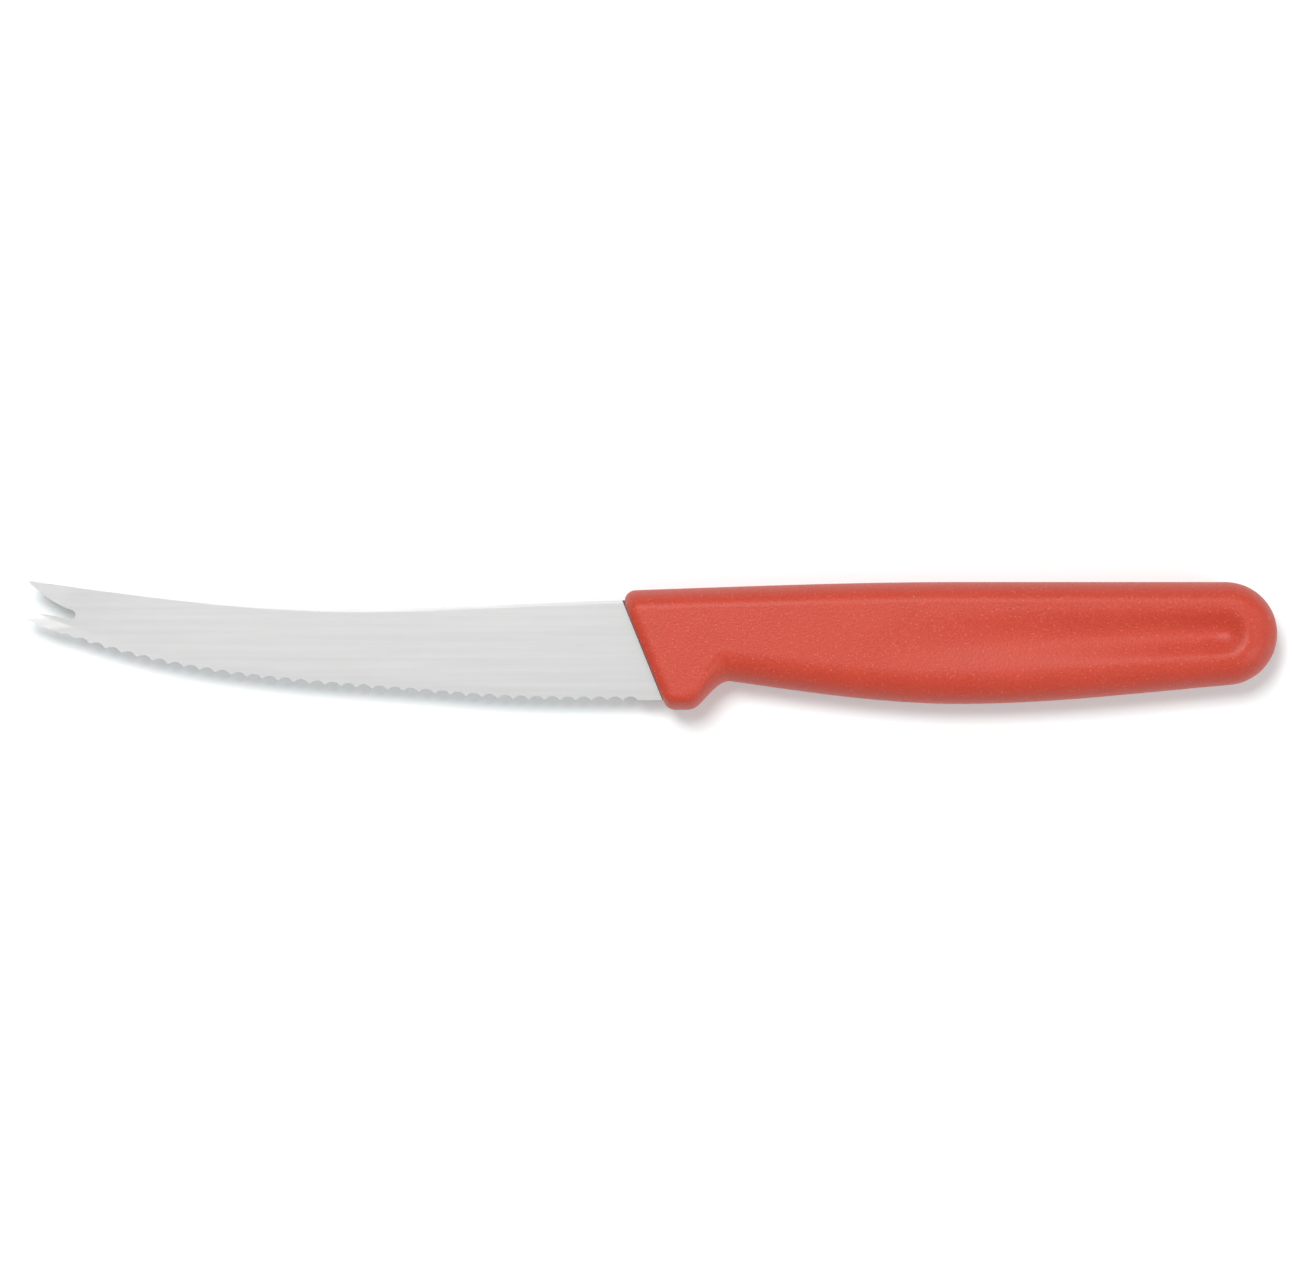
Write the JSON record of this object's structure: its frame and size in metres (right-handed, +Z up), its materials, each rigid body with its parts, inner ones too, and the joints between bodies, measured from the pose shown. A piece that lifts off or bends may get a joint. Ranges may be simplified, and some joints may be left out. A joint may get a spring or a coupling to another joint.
{
  "type": "tomato knife",
  "caption": "Slim tomato knife with a forked tip, a fine wavy edge and a moulded handle with finger guard and thumb scoops.",
  "frame": {"origin": "under the middle of the knife's outline, on the plane that the flat of the handle lies on", "axes": "+X from the tip to the butt, +Y towards the spine, +Z up through the thickness"},
  "size_m": [0.2202, 0.023, 0.013],
  "materials": {
    "steel": "fine satin grind along the blade",
    "red_plastic": "finely grained matte moulding"
  },
  "bodies": {
    "root": {"blade": "steel", "handle": "red_plastic"}
  },
  "joints": []
}
